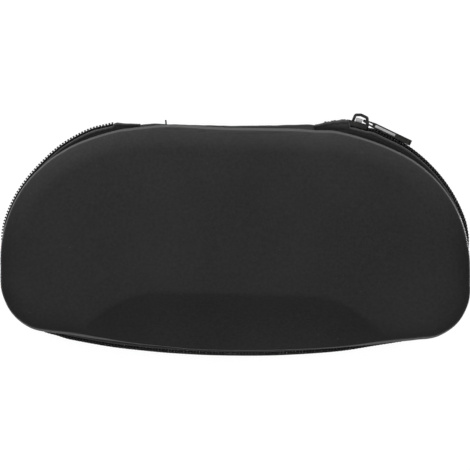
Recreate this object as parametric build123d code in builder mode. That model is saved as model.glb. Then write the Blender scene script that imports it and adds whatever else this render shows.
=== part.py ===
"""Zippered hard case for a pair of lighted magnifier glasses.

Two moulded foam shells, each with a fabric cover and a lining, are joined at the
back by a sewn hinge and closed round the other sides by a coil zip.

Millimetres. The origin is the centre of the flat underside, +X is to the right,
+Y is the hinge side and +Z is up.
"""

import os
from math import asin, cos, degrees, radians, sin, sqrt, tan

from build123d import *

os.makedirs("parts", exist_ok=True)

# Heights of the closed case
LOWER_RIM = 27.0
UPPER_RIM = 37.0
ZIP_HEIGHT = (LOWER_RIM + UPPER_RIM) / 2
SHELL_HEIGHT = 27.0

# Plan of the rim, as arcs that run from the hinge round one side to the front
BACK_RADIUS = 102.5
BACK_CENTRE = (19.8, -58.5)
SHOULDER_RADIUS = 47.2
SHOULDER_START = 65.0
SHOULDER_SPLIT = 20.4
CORNER_Y = -17.1
RIM_CORNER = 20.2
RIM_FRONT_TURN = 8.8

# Plan of the zip's outer edge
ZIP_RADIUS = 58.7
ZIP_CENTRE = (33.5, -12.0)
ZIP_SPLIT = 57.9
ZIP_SIDE_RADIUS = 24.0
ZIP_SIDE_START = 20.0
ZIP_CORNER = 19.6
ZIP_FRONT_TURN = 12.5
RIGHT_ZIP_END = 30.3
LEFT_ZIP_END = 37.0

# Moulded wall
COVER = 0.5
FOAM = 2.6
LINING = 0.4
WALL = COVER + FOAM + LINING
DRAFT = 5.0
EDGE_ROUND = 9.5
DOME_ALONG = 1280.0
DOME_ACROSS = 306.0
DOME_SWEEP = 10.0
CUT_SPARE = 4.0

# Scooped front of each shell
RIDGE_Y = -20.2
RIDGE_FLAT = 27.0
RIDGE_BEND = 36.7
RIDGE_TURN = 31.0
FLANK = 50.0
SCOOP_SLOPE = 1.0
SCOOP_PLAN_GROWTH = 0.44

# Sewn parts
TAPE = 0.6
BINDING = 0.8
SEWN_DEPTH = 3.0
SHELF = 0.5
TAPE_GAP = 0.2
SEWN_LEAN = SEWN_DEPTH * tan(radians(DRAFT))
HINGE_SET_IN = 0.3
HINGE_CLEAR = 1.0
HINGE_RIGHT = RIGHT_ZIP_END - HINGE_CLEAR
HINGE_LEFT = LEFT_ZIP_END - HINGE_CLEAR

# Zip chain, with the bearings in degrees where its teeth start
PITCH = 1.22
TOOTH_DEPTH = 1.5
TOOTH_WIDTH = 0.56
TOOTH_LOW = -0.25
TOOTH_HIGH = 1.85
OPEN_SHIFT = 1.3
RIGHT_TEETH = 89.0
LEFT_TEETH = 76.0
TEETH_CLEAR = 0.6

# Bar tacks at the ends of the chain
TACK_HALF = 3.4
TACK_WIDTH = 1.2
TACK_THICK = 0.7
TACK_SET_BACK = 0.1
TACK_BITE = 0.02

# Slider, measured from the outer edge of the chain
SLIDER_ANGLE = 76.0
SLIDER_HEAD = -4.7
SLIDER_TAIL = 3.5
SLIDER_HALF = 4.0
SLIDER_TAIL_HALF = 3.0
SLIDER_NECK = -0.6
SLIDER_ROUND = 0.9
SLIDER_WALL = 0.6
CHANNEL_FRONT = 0.3
FRONT_PLATE = 1.0
BACK_FACE = -2.5
BACK_PLATE = -3.4
TAPE_SLOT = -1.2
POST_LENGTH = 2.6
POST_HALF = 0.75
POST_WIDEST = -0.3

# Crown, the arch on the slider, drawn along and out from the chain
CROWN_PATH = [(-2.9, 0.65), (-2.5, 3.6), (-0.4, 4.1), (2.2, 3.6), (3.0, 0.65)]
CROWN_BEND = 0.8
CROWN_WIRE = 1.1
CROWN_HALF = 0.9

# Pull tab, measured from its pivot
TAB_PIVOT = (1.25, 2.2)
TAB_TILT = -11.0
TAB_LENGTH = 20.1
TAB_EYE_BAR = 0.4
TAB_THIN = 0.4
TAB_THICK = 1.0
TAB_HALF_EYE = 1.95
TAB_HALF_TIP = 2.4
TAB_SHOULDER = 4.6
TAB_ROUND = 1.2
TAB_EYE_ROUND = 0.35
TAB_EYE_END = 5.6
TAB_EYE_HEIGHT = 2.7
TAB_GAP_AT = 2.9
TAB_GAP = (1.7, 0.7)

# Panel's recess and the longer recess beyond it, in both narrow edges of the tab
TAB_PANEL_AT = 8.7
TAB_PANEL = (9.4, 1.2)
TAB_PANEL_FLOOR = 1.85
TAB_GROOVE_AT = 16.1
TAB_GROOVE = (4.3, 0.9)
TAB_GROOVE_FLOOR = 1.5


def side_arcs(centre, bends, corner_radius, front_turn):
    """Arcs of the right side, hinge to front, as (centre, radius, start, end)."""
    x, y = centre
    arcs = []
    last_radius = bends[0][0]
    for radius, start, end in bends:
        x += (last_radius - radius) * cos(radians(start))
        y += (last_radius - radius) * sin(radians(start))
        arcs.append(((x, y), radius, start, end))
        last_radius = radius
    corner_x = x + last_radius - corner_radius
    arcs.append(((corner_x, CORNER_Y), corner_radius, 0.0, front_turn - 90.0))
    reach = corner_x / sin(radians(front_turn))
    front_y = CORNER_Y + reach * cos(radians(front_turn))
    arcs.append(((0.0, front_y), corner_radius + reach, front_turn - 90.0, -90.0))
    return arcs


def rim_side(start):
    """Right side of the rim, from the given bearing on the back arc."""
    bends = [
        (BACK_RADIUS, start, SHOULDER_START),
        (SHOULDER_RADIUS, SHOULDER_START, SHOULDER_SPLIT),
        (SHOULDER_RADIUS, SHOULDER_SPLIT, 0.0),
    ]
    return side_arcs(BACK_CENTRE, bends, RIM_CORNER, RIM_FRONT_TURN)


def zip_side(start):
    """Right side of the zip's outer edge, from the given bearing."""
    bends = [
        (ZIP_RADIUS, start, ZIP_SPLIT),
        (ZIP_RADIUS, ZIP_SPLIT, ZIP_SIDE_START),
        (ZIP_SIDE_RADIUS, ZIP_SIDE_START, 0.0),
    ]
    return side_arcs(ZIP_CENTRE, bends, ZIP_CORNER, ZIP_FRONT_TURN)


def bearing(x, centre, radius):
    """Bearing of the point at x on an arc, in degrees from +X."""
    return 90.0 - degrees(asin((x - centre[0]) / radius))


RIM = rim_side(90.0)
RIM_RIGHT = rim_side(bearing(RIGHT_ZIP_END, BACK_CENTRE, BACK_RADIUS))
RIM_LEFT = rim_side(bearing(LEFT_ZIP_END, BACK_CENTRE, BACK_RADIUS))
ZIP_RIGHT = zip_side(bearing(RIGHT_ZIP_END, ZIP_CENTRE, ZIP_RADIUS))
ZIP_LEFT = zip_side(bearing(LEFT_ZIP_END, ZIP_CENTRE, ZIP_RADIUS))


def draw_run(right, left, gap):
    """Draw a line round the case, moved out by gap, and return its two ends."""
    ends = []
    for side, arcs in ((1, right), (-1, left)):
        last = None
        for (x, y), radius, start, end in arcs:
            first = start if side == 1 else 180.0 - start
            arc = CenterArc((side * x, y), radius + gap, first, side * (end - start))
            if last is None:
                ends.append(arc @ 0)
            elif (arc @ 0 - last).length > 0.001:
                Line(last, arc @ 0)
            last = arc @ 1
    return ends


def ring(height, gap):
    """Full rim outline at a height."""
    with BuildSketch(Plane.XY.offset(height)) as face:
        with BuildLine():
            right_end, left_end = draw_run(RIM, RIM, gap)
            Line(right_end, left_end)
        make_face()
    return face.sketch.face()


def strip(height, outer, outer_gap, inner, inner_gap):
    """Band between two runs round the case, open at the hinge."""
    with BuildSketch(Plane.XY.offset(height)) as face:
        with BuildLine():
            outer_ends = draw_run(*outer, outer_gap)
            inner_ends = draw_run(*inner, inner_gap)
            Line(outer_ends[0], inner_ends[0])
            Line(outer_ends[1], inner_ends[1])
        make_face()
    return face.sketch.face()


def dome_tool(inset):
    """Block under the lid's gently domed top, which curves both ways."""
    top = SHELL_HEIGHT - inset
    across = DOME_ACROSS - inset
    reach = 60.0
    below = -5.0
    edge = top - across + sqrt(across**2 - reach**2)
    sweep_axis = Axis((0, 0, top - DOME_ALONG + inset), (0, 1, 0))
    with BuildPart() as block:
        with BuildSketch(Plane.YZ):
            with BuildLine():
                Polyline((-reach, edge), (-reach, below), (reach, below), (reach, edge))
                ThreePointArc((reach, edge), (0, top), (-reach, edge))
            make_face()
        revolve(axis=sweep_axis, revolution_arc=DOME_SWEEP)
    return block.part.rotate(sweep_axis, -DOME_SWEEP / 2)


def shell_form(inset, domed):
    """Solid form of one shell, rim down on XY, every outer face moved in by inset."""
    rise = SHELL_HEIGHT + CUT_SPARE if domed else SHELL_HEIGHT - inset
    lean = rise * tan(radians(DRAFT))
    with BuildPart() as form:
        loft(sections=[ring(0, -inset), ring(rise, -inset - lean)], ruled=True)
        if domed:
            add(dome_tool(inset), mode=Mode.INTERSECT)
        top = form.faces().sort_by(Axis.Z)[-1]
        fillet(top.edges(), radius=EDGE_ROUND - inset)

        bend = RIDGE_BEND + inset * SCOOP_PLAN_GROWTH
        turn = radians(RIDGE_TURN)
        ridge_y = RIDGE_Y + inset * SCOOP_PLAN_GROWTH + SCOOP_SLOPE
        bend_end = (RIDGE_FLAT + bend * sin(turn), ridge_y - bend * (1 - cos(turn)))
        bend_mid = (RIDGE_FLAT + bend * sin(turn / 2), ridge_y - bend * (1 - cos(turn / 2)))
        flank_end = (bend_end[0] + FLANK * cos(turn), bend_end[1] - FLANK * sin(turn))
        with BuildSketch(Plane.XY.offset(SHELL_HEIGHT - inset + 1.0)):
            with BuildLine():
                Line((-RIDGE_FLAT, ridge_y), (RIDGE_FLAT, ridge_y))
                for side in (-1, 1):
                    near = (side * RIDGE_FLAT, ridge_y)
                    middle = (side * bend_mid[0], bend_mid[1])
                    far = (side * bend_end[0], bend_end[1])
                    tip = (side * flank_end[0], flank_end[1])
                    ThreePointArc(near, middle, far)
                    Line(far, tip)
                Line((-flank_end[0], flank_end[1]), flank_end)
            make_face()
        extrude(amount=SHELL_HEIGHT + CUT_SPARE, dir=(0, -SCOOP_SLOPE, -1), mode=Mode.SUBTRACT)
    return form.part


def moulded_layer(label, outer, inner, upper):
    """One layer of a shell's wall, between two insets, with its rim in place."""
    height = UPPER_RIM if upper else LOWER_RIM
    with BuildPart() as layer:
        for inset, mode in ((outer, Mode.ADD), (inner, Mode.SUBTRACT)):
            form = shell_form(inset, upper)
            if not upper:
                form = mirror(form, about=Plane.XY, mode=Mode.PRIVATE)
            add(form.moved(Location((0, 0, height))), mode=mode)
    layer.part.label = label
    export_step(layer.part, f"parts/{label}.step")
    return layer.part


def sewn_edge(right, left, near, far, upper, start=0.0):
    """Strip sewn to the inside of a rim, which follows the wall's draft."""
    rim = UPPER_RIM if upper else LOWER_RIM
    way = 1 if upper else -1
    run = (right, left)
    low = strip(rim, run, -near, run, -far)
    high = strip(rim + way * SEWN_DEPTH, run, -near - SEWN_LEAN, run, -far - SEWN_LEAN)
    with BuildPart() as edge:
        loft(sections=[low, high], ruled=True)
        if start:
            add(low)
            extrude(amount=-way * start)
    return edge.part


def zip_tape(label, upper):
    """Woven tape: sewn inside the rim, out under it, then along the chain."""
    rim = UPPER_RIM if upper else LOWER_RIM
    way = 1 if upper else -1
    rims = (RIM_RIGHT, RIM_LEFT)
    zips = (ZIP_RIGHT, ZIP_LEFT)
    skirt = UPPER_RIM - ZIP_HEIGHT - TAPE_GAP
    with BuildPart() as tape:
        add(sewn_edge(*rims, WALL, WALL + TAPE, upper))
        add(strip(rim, zips, -TOOTH_DEPTH, rims, -WALL - TAPE))
        extrude(amount=-way * SHELF)
        add(strip(rim, zips, -TOOTH_DEPTH, zips, -TOOTH_DEPTH - TAPE))
        extrude(amount=-way * skirt)
        add(open_end(), mode=Mode.SUBTRACT)
    tape.part.label = label
    export_step(tape.part, f"parts/{label}.step")


def open_end():
    """Space round the chain from the middle of the slider to the right zip end."""
    reach = ZIP_RADIUS + 2.0
    stretch = bearing(RIGHT_ZIP_END - 3.0, ZIP_CENTRE, ZIP_RADIUS) - SLIDER_ANGLE
    with BuildPart() as gap:
        with BuildSketch(Plane.XY.offset(ZIP_HEIGHT - TAPE_GAP - OPEN_SHIFT)):
            with BuildLine():
                outer = CenterArc(ZIP_CENTRE, reach, SLIDER_ANGLE, stretch)
                inner = CenterArc(ZIP_CENTRE, reach - 8.0, SLIDER_ANGLE, stretch)
                Line(outer @ 0, inner @ 0)
                Line(outer @ 1, inner @ 1)
            make_face()
        extrude(amount=2 * (TAPE_GAP + OPEN_SHIFT))
    return gap.part


def teeth_on(side, arc, phase, start, end):
    """Place teeth along one arc, between two bearings, at the zip's pitch."""
    (x, y), radius, _, _ = arc
    step = degrees(PITCH / radius)
    count = int((start - end) / step)
    for index in range(count):
        turn = start - (index + phase) * step
        angle = turn if side == 1 else 180.0 - turn
        spot = (
            side * x + radius * cos(radians(angle)),
            y + radius * sin(radians(angle)),
        )
        with Locations(Location(spot + (0.0,), (0, 0, angle))):
            tooth()


def tooth():
    """Plan of one tooth, pointing out from the tape."""
    half = TOOTH_WIDTH / 2
    Polygon((-TOOTH_DEPTH, -half), (0.0, 0.0), (-TOOTH_DEPTH, half), align=None)


def zip_coil(label, upper):
    """Teeth of one half of the chain, meshed up to the slider and open past it."""
    way = 1 if upper else -1
    phase = 0.0 if upper else 0.5
    height = TOOTH_HIGH - TOOTH_LOW
    with BuildPart() as coil:
        with BuildSketch(Plane.XY.offset(ZIP_HEIGHT + way * TOOTH_LOW)):
            for side, arcs, first in ((1, ZIP_RIGHT, SLIDER_ANGLE), (-1, ZIP_LEFT, LEFT_TEETH)):
                for arc in arcs:
                    teeth_on(side, arc, phase, min(arc[2], first), arc[3])
                side_x = arcs[2][0][0] + arcs[2][1]
                rows = int((arcs[2][0][1] - CORNER_Y) / PITCH)
                for row in range(rows):
                    spot = (side * side_x, arcs[2][0][1] - (row + phase) * PITCH, 0.0)
                    with Locations(Location(spot, (0, 0, 0 if side == 1 else 180))):
                        tooth()
        extrude(amount=way * height)
        with BuildSketch(Plane.XY.offset(ZIP_HEIGHT + way * (TOOTH_LOW + OPEN_SHIFT))):
            teeth_on(1, ZIP_RIGHT[0], phase, RIGHT_TEETH, SLIDER_ANGLE + TEETH_CLEAR)
        extrude(amount=way * height)
    coil.part.label = label
    export_step(coil.part, f"parts/{label}.step")


def rim_binding(label, upper):
    """Binding over the raw edges inside a rim."""
    inside = WALL + TAPE
    with BuildPart() as binding:
        add(sewn_edge(RIM_RIGHT, RIM_LEFT, inside, inside + BINDING, upper, SHELF))
    binding.part.label = label
    export_step(binding.part, f"parts/{label}.step")


def back_band(height, outer_gap, inner_gap):
    """Piece of the rim's back, as long as the hinge, between two gaps."""
    with BuildSketch(Plane.XY.offset(height)) as face:
        with BuildLine():
            ends = []
            for gap in (outer_gap, inner_gap):
                centre_x, centre_y = BACK_CENTRE
                radius = BACK_RADIUS + gap
                right_turn = bearing(HINGE_RIGHT, BACK_CENTRE, radius) - 90.0
                left_turn = bearing(HINGE_LEFT, BACK_CENTRE, radius) - 90.0
                right = CenterArc((centre_x, centre_y), radius, 90.0, right_turn)
                left = CenterArc((-centre_x, centre_y), radius, 90.0, -left_turn)
                Line(right @ 0, left @ 0)
                ends.append((right @ 1, left @ 1))
            Line(ends[0][0], ends[1][0])
            Line(ends[0][1], ends[1][1])
        make_face()
    return face.sketch.face()


def hinge_flap(rim, way, near, far):
    """Flap of the hinge sewn inside one rim, which follows the wall's draft."""
    low = back_band(rim, -near, -far)
    high = back_band(rim + way * SEWN_DEPTH, -near - SEWN_LEAN, -far - SEWN_LEAN)
    with BuildPart() as flap:
        loft(sections=[low, high], ruled=True)
    return flap.part


def slider_outline(head, tail, shrink):
    """Corners of the slider's shouldered plan, narrower at the tail."""
    wide = SLIDER_HALF - shrink
    slim = SLIDER_TAIL_HALF - shrink
    return [
        (head, -wide), (SLIDER_NECK, -wide), (tail, -slim),
        (tail, slim), (SLIDER_NECK, wide), (head, wide),
    ]


# Moulded shells, each with its tape, coil and binding
for name, is_upper in (("lower", False), ("upper", True)):
    moulded_layer(f"{name}_cover", 0.0, COVER, is_upper)
    moulded_layer(f"{name}_shell", COVER, COVER + FOAM, is_upper)
    moulded_layer(f"{name}_lining", COVER + FOAM, WALL, is_upper)
    zip_tape(f"{name}_zip_tape", is_upper)
    zip_coil(f"{name}_zip_coil", is_upper)
    rim_binding(f"{name}_binding", is_upper)

# Sewn hinge: an outer strip across the gap and a lining strip inside it
with BuildPart() as hinge_strip:
    add(back_band(LOWER_RIM, -HINGE_SET_IN, -HINGE_SET_IN - TAPE))
    extrude(amount=UPPER_RIM - LOWER_RIM)
    for rim, way in ((LOWER_RIM, -1), (UPPER_RIM, 1)):
        add(back_band(rim, -HINGE_SET_IN, -WALL - TAPE))
        extrude(amount=-way * SHELF)
        add(hinge_flap(rim, way, WALL, WALL + TAPE))
hinge_strip.part.label = "hinge_strip"
export_step(hinge_strip.part, "parts/hinge_strip.step")

with BuildPart() as hinge_lining:
    inside = WALL + TAPE
    add(back_band(LOWER_RIM, -inside, -inside - LINING))
    extrude(amount=UPPER_RIM - LOWER_RIM)
    for rim, way in ((LOWER_RIM, -1), (UPPER_RIM, 1)):
        add(hinge_flap(rim, way, inside, inside + LINING))
hinge_lining.part.label = "hinge_lining"
export_step(hinge_lining.part, "parts/hinge_lining.step")

# Bar tacks that hold the two tapes together at each end of the chain
for name, side, arcs in (("right_bar_tack", 1, ZIP_RIGHT), ("left_bar_tack", -1, ZIP_LEFT)):
    (arc_x, arc_y), arc_radius, arc_start, _ = arcs[0]
    inner_edge = arc_radius - TOOTH_DEPTH
    tack_turn = degrees((TACK_WIDTH / 2 + TACK_SET_BACK) / arc_radius)
    tack_angle = arc_start - tack_turn if side == 1 else 180.0 - arc_start + tack_turn
    with BuildPart() as tack:
        with BuildSketch(Plane.XY.offset(ZIP_HEIGHT - TACK_HALF)):
            spot = (side * arc_x, arc_y, 0.0)
            with Locations(Location(spot, (0, 0, tack_angle))):
                with Locations((inner_edge + TACK_THICK / 2 - TACK_BITE, 0)):
                    Rectangle(TACK_THICK, TACK_WIDTH)
            with Locations(Location(spot, (0, 0, 0))):
                Circle(inner_edge, mode=Mode.SUBTRACT)
        extrude(amount=2 * TACK_HALF)
    tack.part.label = name
    export_step(tack.part, f"parts/{name}.step")

# Slider, built in a plane that faces out from the chain
slider_turn = radians(SLIDER_ANGLE)
slider_spot = (
    ZIP_CENTRE[0] + ZIP_RADIUS * cos(slider_turn),
    ZIP_CENTRE[1] + ZIP_RADIUS * sin(slider_turn),
    ZIP_HEIGHT,
)
SLIDER = Plane(
    origin=slider_spot,
    x_dir=(sin(slider_turn), -cos(slider_turn), 0),
    z_dir=(cos(slider_turn), sin(slider_turn), 0),
)

with BuildPart() as slider_body:
    with BuildSketch(SLIDER.offset(BACK_PLATE)) as plan:
        Polygon(*slider_outline(SLIDER_HEAD, SLIDER_TAIL, 0.0), align=None)
        fillet(plan.vertices(), radius=SLIDER_ROUND)
    extrude(amount=FRONT_PLATE - BACK_PLATE)
    with BuildSketch(SLIDER.offset(TAPE_SLOT)):
        Polygon(*slider_outline(SLIDER_HEAD - 1.0, SLIDER_TAIL + 1.0, SLIDER_WALL), align=None)
    extrude(amount=CHANNEL_FRONT - TAPE_SLOT, mode=Mode.SUBTRACT)
    with BuildSketch(SLIDER.offset(BACK_FACE)):
        Rectangle(4 * SLIDER_HALF, 4 * SLIDER_HALF)
    extrude(amount=TAPE_SLOT - BACK_FACE, mode=Mode.SUBTRACT)
    with BuildSketch(SLIDER.offset(BACK_FACE)):
        with Locations((SLIDER_HEAD + POST_LENGTH / 2, 0)):
            Polygon(
                (-POST_LENGTH / 2, 0), (POST_WIDEST, -POST_HALF),
                (POST_LENGTH / 2, 0), (POST_WIDEST, POST_HALF),
                align=None,
            )
    extrude(amount=CHANNEL_FRONT - BACK_FACE)
slider_body.part.label = "slider_body"
export_step(slider_body.part, "parts/slider_body.step")

# Crown, which holds the pull tab
CROWN = Plane(origin=SLIDER.origin, x_dir=SLIDER.x_dir, z_dir=(0, 0, 1))
with BuildPart() as slider_crown:
    with BuildSketch(CROWN.offset(-CROWN_HALF)):
        with BuildLine():
            FilletPolyline(*CROWN_PATH, radius=CROWN_BEND)
        trace(line_width=CROWN_WIRE)
    extrude(amount=2 * CROWN_HALF)
    with BuildSketch(SLIDER):
        Rectangle(4 * SLIDER_HALF, 4 * SLIDER_HALF)
    extrude(amount=FRONT_PLATE, mode=Mode.SUBTRACT)
slider_crown.part.label = "slider_crown"
export_step(slider_crown.part, "parts/slider_crown.step")

# Pull tab, drawn from above with its pivot in the crown's window
pivot_spot = SLIDER.from_local_coords(Vector(TAB_PIVOT[0], 0, TAB_PIVOT[1]))
tab_angle = SLIDER_ANGLE - 90.0 + TAB_TILT
TAB = Plane(
    origin=pivot_spot,
    x_dir=(cos(radians(tab_angle)), sin(radians(tab_angle)), 0),
    z_dir=(0, 0, 1),
)
TAB_SIDE = Plane(TAB.origin, x_dir=TAB.x_dir, z_dir=TAB.y_dir)
with BuildPart() as pull_tab:
    with BuildSketch(TAB.offset(-TAB_HALF_TIP)) as edge_view:
        with BuildLine():
            Polyline(
                (-TAB_EYE_BAR, -TAB_THIN), (TAB_SHOULDER, -TAB_THICK), (TAB_LENGTH, -TAB_THICK),
                (TAB_LENGTH, TAB_THICK), (TAB_SHOULDER, TAB_THICK), (-TAB_EYE_BAR, TAB_THIN),
                (-TAB_EYE_BAR, -TAB_THIN),
            )
        make_face()
        eye_corners = edge_view.vertices().group_by(Axis(TAB.origin, TAB.x_dir))[0]
        fillet(eye_corners, radius=TAB_EYE_ROUND)
        with Locations((TAB_GAP_AT, 0)):
            SlotOverall(*TAB_GAP, mode=Mode.SUBTRACT)
    extrude(amount=2 * TAB_HALF_TIP)
    with BuildSketch(TAB_SIDE) as side_view:
        with BuildLine():
            Polyline(
                (-TAB_EYE_BAR, -TAB_HALF_EYE), (TAB_LENGTH, -TAB_HALF_TIP),
                (TAB_LENGTH, TAB_HALF_TIP), (-TAB_EYE_BAR, TAB_HALF_EYE),
                (-TAB_EYE_BAR, -TAB_HALF_EYE),
            )
        make_face()
        fillet(side_view.vertices(), radius=TAB_ROUND)
        with Locations(((TAB_EYE_END + TAB_EYE_BAR) / 2, 0)):
            Rectangle(TAB_EYE_END - TAB_EYE_BAR, TAB_EYE_HEIGHT, mode=Mode.SUBTRACT)
    extrude(amount=2 * TAB_THICK, both=True, mode=Mode.INTERSECT)
    for way in (-1, 1):
        with BuildSketch(TAB.offset(way * TAB_PANEL_FLOOR)):
            with Locations((TAB_PANEL_AT, 0)):
                Rectangle(*TAB_PANEL)
        extrude(amount=way * TAB_HALF_TIP, mode=Mode.SUBTRACT)
        with BuildSketch(TAB.offset(way * TAB_GROOVE_FLOOR)):
            with Locations((TAB_GROOVE_AT, 0)):
                SlotOverall(*TAB_GROOVE)
        extrude(amount=way * TAB_HALF_TIP, mode=Mode.SUBTRACT)
pull_tab.part.label = "pull_tab"
export_step(pull_tab.part, "parts/pull_tab.step")
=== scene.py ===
"""Zippered hard case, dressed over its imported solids.

Two moulded halves covered in matt black cloth are joined by a sewn hinge at the back
and closed round the other sides by a coil zip with a metal slider and pull.
Meshes are in metres and named sizes in millimetres, which MM turns into metres.
+X is to the right, +Y is the hinge side and +Z is up.
"""

import logging
from dataclasses import dataclass, field
from enum import Enum
from math import asin, atan2, ceil, cos, degrees, exp, pi, radians, sin, sqrt, tan

import bmesh
import bpy
from mathutils import Matrix, Vector, noise

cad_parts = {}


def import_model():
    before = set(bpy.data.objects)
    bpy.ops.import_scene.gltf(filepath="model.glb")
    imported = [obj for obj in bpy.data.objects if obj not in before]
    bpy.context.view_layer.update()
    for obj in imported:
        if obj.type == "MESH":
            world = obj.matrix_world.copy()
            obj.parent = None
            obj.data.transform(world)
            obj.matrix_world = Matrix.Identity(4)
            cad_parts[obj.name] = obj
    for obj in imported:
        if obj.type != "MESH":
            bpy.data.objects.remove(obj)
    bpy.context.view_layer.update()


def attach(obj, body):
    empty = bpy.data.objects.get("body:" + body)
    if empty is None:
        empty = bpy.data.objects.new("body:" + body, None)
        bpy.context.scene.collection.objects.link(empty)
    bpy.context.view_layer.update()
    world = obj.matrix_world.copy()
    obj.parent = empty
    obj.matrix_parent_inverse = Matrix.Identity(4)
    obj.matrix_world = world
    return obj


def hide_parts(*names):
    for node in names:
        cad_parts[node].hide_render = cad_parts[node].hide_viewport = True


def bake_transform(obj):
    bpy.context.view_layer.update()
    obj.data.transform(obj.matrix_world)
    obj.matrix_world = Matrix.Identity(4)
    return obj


logging.basicConfig(level=logging.INFO, format="%(message)s")
log = logging.getLogger("case")

Colour = tuple[float, float, float, float]
Place = tuple[float, float, float]
Arc = tuple[tuple[float, float], float]
Table = tuple[tuple[float, float], ...]
Rows = list[list[Vector]]
Socket = bpy.types.NodeSocket
Node = bpy.types.Node
Mesh = bmesh.types.BMesh

MM = 0.001
MIDDLE = 32.0
RIM_GAP = 10.0
DRAFT = 5.0
TINY = 1e-6


class Body(Enum):
    """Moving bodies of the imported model."""

    BASE = "base"
    LID = "lid"
    SLIDER = "slider"
    TAB = "tab"


class Half(Enum):
    """The two moulded halves, by which way they face."""

    LOWER = -1
    UPPER = 1

    @property
    def word(self) -> str:
        """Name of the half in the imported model's node names."""
        return "upper" if self is Half.UPPER else "lower"

    @property
    def body(self) -> Body:
        """Body that the half rides on."""
        return Body.LID if self is Half.UPPER else Body.BASE

    @property
    def rim(self) -> float:
        """Height of the half's rim."""
        return MIDDLE + self.value * RIM_GAP / 2


# Node helpers


class Wiring:
    """Adds nodes to one tree and links them."""

    def __init__(self, tree: bpy.types.NodeTree) -> None:
        """Keep the node tree of a material, a group or the world."""
        self.tree = tree

    def put(self, value: object, socket: Socket) -> None:
        """Give an input a number, a colour or a link.

        Args:
            value: The number, the colour or the socket to link.
            socket: The input.
        """
        if isinstance(value, bpy.types.NodeSocket):
            self.tree.links.new(value, socket)
        else:
            socket.default_value = value

    def feed(self, node: Node, **inputs: object) -> Node:
        """Set a node's attributes and inputs.

        Args:
            node: The node.
            **inputs: Attribute values by name, or numbers, colours and links by the
                input's name with spaces written as underscores.

        Returns:
            The same node.
        """
        for name, value in inputs.items():
            if name.islower() and hasattr(node, name):
                setattr(node, name, value)
            else:
                self.put(value, node.inputs[name.replace("_", " ")])
        return node

    def add(self, kind: str, **inputs: object) -> Node:
        """Add a node by its type, without the leading ShaderNode, and feed it."""
        return self.feed(self.tree.nodes.new("ShaderNode" + kind), **inputs)

    def math(self, operation: str, *values: object) -> Socket:
        """Add a Math node.

        Args:
            operation: The node's operation.
            *values: Numbers or sockets, in order.

        Returns:
            Its output socket.
        """
        node = self.add("Math", operation=operation)
        for value, socket in zip(values, node.inputs):
            self.put(value, socket)
        return node.outputs[0]

    def mix(self, share: object, first: object, second: object) -> Socket:
        """Mix two colours.

        Args:
            share: How much of the second colour shows, as a number or a socket.
            first: Colour or socket.
            second: Colour or socket.

        Returns:
            The mixed colour's socket.
        """
        node = self.add("Mix", data_type="RGBA")
        share_input, first_input, second_input, colour_output = 0, 6, 7, 2
        self.put(share, node.inputs[share_input])
        self.put(first, node.inputs[first_input])
        self.put(second, node.inputs[second_input])
        return node.outputs[colour_output]

    def ramp(self, value: Socket, low: float, high: float) -> Socket:
        """Stretch a value so that low becomes 0 and high becomes 1."""
        return self.add("MapRange", From_Min=low, From_Max=high, Value=value).outputs[0]

    def noise(self, vector: Socket, scale: object, detail: float) -> Socket:
        """Value of a noise pattern of this scale and detail."""
        return self.add("TexNoise", Vector=vector, Scale=scale, Detail=detail).outputs["Fac"]

    def wave(self, place: Socket, rate: Socket) -> Socket:
        """Sine of a place in metres, with rate half waves to the metre."""
        return self.math("SINE", self.math("MULTIPLY", place, self.math("MULTIPLY", rate, pi)))

    def bump(self, height: Socket, strength: float, depth: float) -> Socket:
        """Normal of a surface in relief, its depth in millimetres."""
        return self.add("Bump", Height=height, Strength=strength, Distance=depth * MM).outputs[0]


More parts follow.
